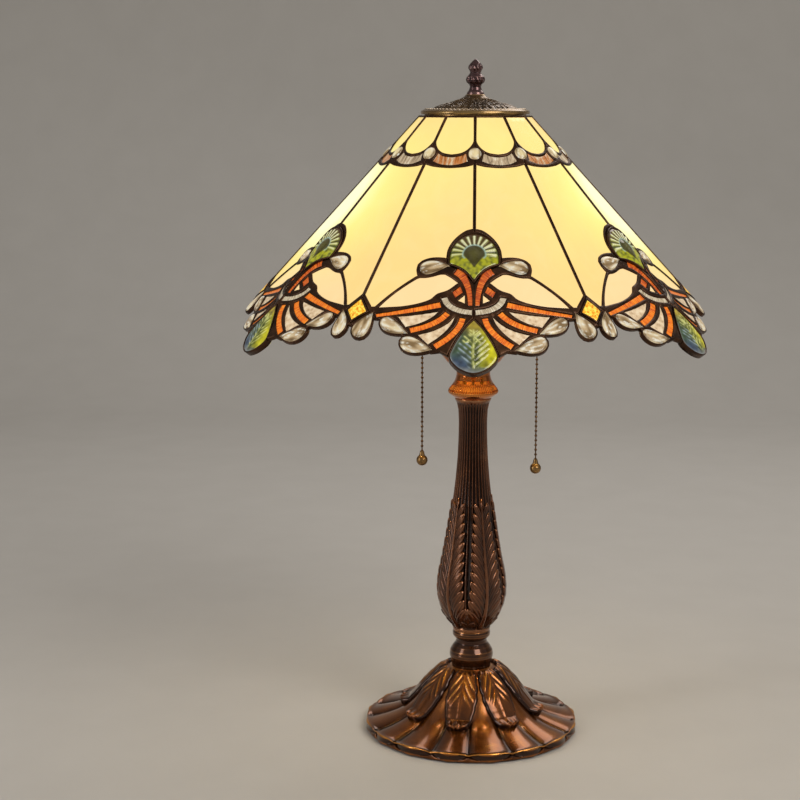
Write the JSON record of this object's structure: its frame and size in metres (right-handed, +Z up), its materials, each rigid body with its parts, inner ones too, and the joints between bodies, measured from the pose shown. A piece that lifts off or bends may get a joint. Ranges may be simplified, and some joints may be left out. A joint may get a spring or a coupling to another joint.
{
  "type": "table lamp",
  "caption": "Table lamp with a leaded stained glass shade of flat cream sides and jewelled shell motifs, pull-chain sockets, and a cast bronze column on a lobed base.",
  "frame": {"origin": "middle of the base's underside", "axes": "+Z up along the column, -Y towards the front, +X to the right of a person facing the front"},
  "size_m": [0.3964, 0.4284, 0.5915],
  "materials": {
    "felt": "matt",
    "cast_bronze": "satin bronze paint over a casting",
    "iron": "raw",
    "steel": "zinc plated",
    "brass": "satin",
    "black_plastic": "moulded",
    "copper": "polished copper paint",
    "antique_brass": "antiqued",
    "dark_finial": "dark lacquer",
    "cardboard": "plain",
    "phenolic": "moulded",
    "aluminium": "drawn",
    "bulb_glass": "frosted, lit",
    "solder": "dark patina",
    "cream_glass": "opalescent, lit from inside",
    "pink_cream_glass": "opalescent, lit from inside",
    "amber_streaky_glass": "streaky",
    "grey_streaky_glass": "streaky",
    "clear_jewel": "pressed, clear",
    "amber_jewel": "granite texture",
    "green_jewel": "pressed, green to yellow",
    "leaf_jewel": "pressed, blue to yellow",
    "red_glass": "ripple",
    "orange_glass": "ripple",
    "grey_glass": "wispy",
    "rippled_clear_glass": "hammered"
  },
  "bodies": {
    "lamp_frame": {"felt_pad": "felt", "base_casting": "cast_bronze", "base_weight": "iron", "base_washer": "steel", "base_nut": "brass", "cord_bushing": "black_plastic", "lamp_pipe": "steel", "base_knob": "cast_bronze", "column_casting": "cast_bronze", "copper_collar": "copper", "cluster_cup": "copper", "cluster_body": "brass", "cluster_cover": "antique_brass", "cluster_nuts": "brass", "riser_pipe": "antique_brass", "finial_stud": "brass", "vase_cap": "antique_brass", "socket_caps": "brass", "socket_shells": "brass", "socket_liners": "cardboard", "switch_bodies": "phenolic", "screw_shells": "aluminium", "centre_contacts": "brass", "chain_guides": "brass", "shade_top_ring": "brass", "solder_net": "solder", "top_cream_panels": "cream_glass", "amber_band_strips": "amber_streaky_glass", "grey_band_strips": "grey_streaky_glass", "oval_jewels": "clear_jewel", "main_cream_panels": "cream_glass", "wing_cream_panels": "pink_cream_glass", "amber_diamonds": "amber_jewel", "edge_drop_jewels": "clear_jewel", "shell_fan_jewels": "green_jewel", "fan_teardrops": "clear_jewel", "red_strips": "red_glass", "cross_strips": "red_glass", "cream_triangles": "pink_cream_glass", "grey_crescents": "grey_glass", "upper_orange_strips": "orange_glass", "middle_orange_strips": "orange_glass", "lower_orange_strips": "orange_glass", "clear_wedges": "rippled_clear_glass", "end_teardrops": "clear_jewel", "pendant_jewels": "leaf_jewel"},
    "finial": {"finial": "dark_finial"},
    "left_lever": {"left_switch_lever": "aluminium"},
    "left_pull": {"left_pull_stub": "antique_brass"},
    "left_chain": {"left_pull_chain": "antique_brass", "left_pull_ball": "brass"},
    "left_bulb": {"left_bulb_glass": "bulb_glass", "left_bulb_cap": "aluminium"},
    "right_lever": {"right_switch_lever": "aluminium"},
    "right_pull": {"right_pull_stub": "antique_brass"},
    "right_chain": {"right_pull_chain": "antique_brass", "right_pull_ball": "brass"},
    "right_bulb": {"right_bulb_glass": "bulb_glass", "right_bulb_cap": "aluminium"}
  },
  "joints": [
    {"name": "finial_turn", "type": "hinge", "parent": "lamp_frame", "child": "finial", "pos_m": [0, 0, 0.5617], "axis": [0, 0, 1], "continuous": true},
    {"name": "left_chain_pull", "type": "slide", "parent": "lamp_frame", "child": "left_pull", "axis": [0, 0, -1], "range_m": [0, 0.012], "stiffness_N_per_m": 250, "springref_m": -0.004},
    {"name": "left_switch_turn", "type": "hinge", "parent": "lamp_frame", "child": "left_lever", "pos_m": [-0.04029, 0.00475, 0.37349], "axis": [-0.5736, 0, 0.8191], "range_deg": [-82, 0]},
    {"name": "left_chain_swing", "type": "hinge", "parent": "left_pull", "child": "left_chain", "pos_m": [-0.044, -0.02179, 0.35139], "axis": [1, 0, 0], "range_deg": [-25, 25]},
    {"name": "left_bulb_turn", "type": "hinge", "parent": "lamp_frame", "child": "left_bulb", "pos_m": [-0.022, 0, 0.357], "axis": [-0.5736, 0, 0.8191], "continuous": true},
    {"name": "right_chain_pull", "type": "slide", "parent": "lamp_frame", "child": "right_pull", "axis": [0, 0, -1], "range_m": [0, 0.012], "stiffness_N_per_m": 250, "springref_m": -0.004},
    {"name": "right_switch_turn", "type": "hinge", "parent": "lamp_frame", "child": "right_lever", "pos_m": [0.03298, -0.00643, 0.37861], "axis": [0.5736, 0, 0.8191], "range_deg": [-82, 0]},
    {"name": "right_chain_swing", "type": "hinge", "parent": "right_pull", "child": "right_chain", "pos_m": [0.055, -0.00497, 0.34369], "axis": [1, 0, 0], "range_deg": [-25, 25]},
    {"name": "right_bulb_turn", "type": "hinge", "parent": "lamp_frame", "child": "right_bulb", "pos_m": [0.022, 0, 0.357], "axis": [0.5736, 0, 0.8191], "continuous": true}
  ],
  "couplings": [
    {"joint": "left_switch_turn", "follows": "left_chain_pull", "rad_per_m": -116.36},
    {"joint": "right_switch_turn", "follows": "right_chain_pull", "rad_per_m": -116.36}
  ]
}
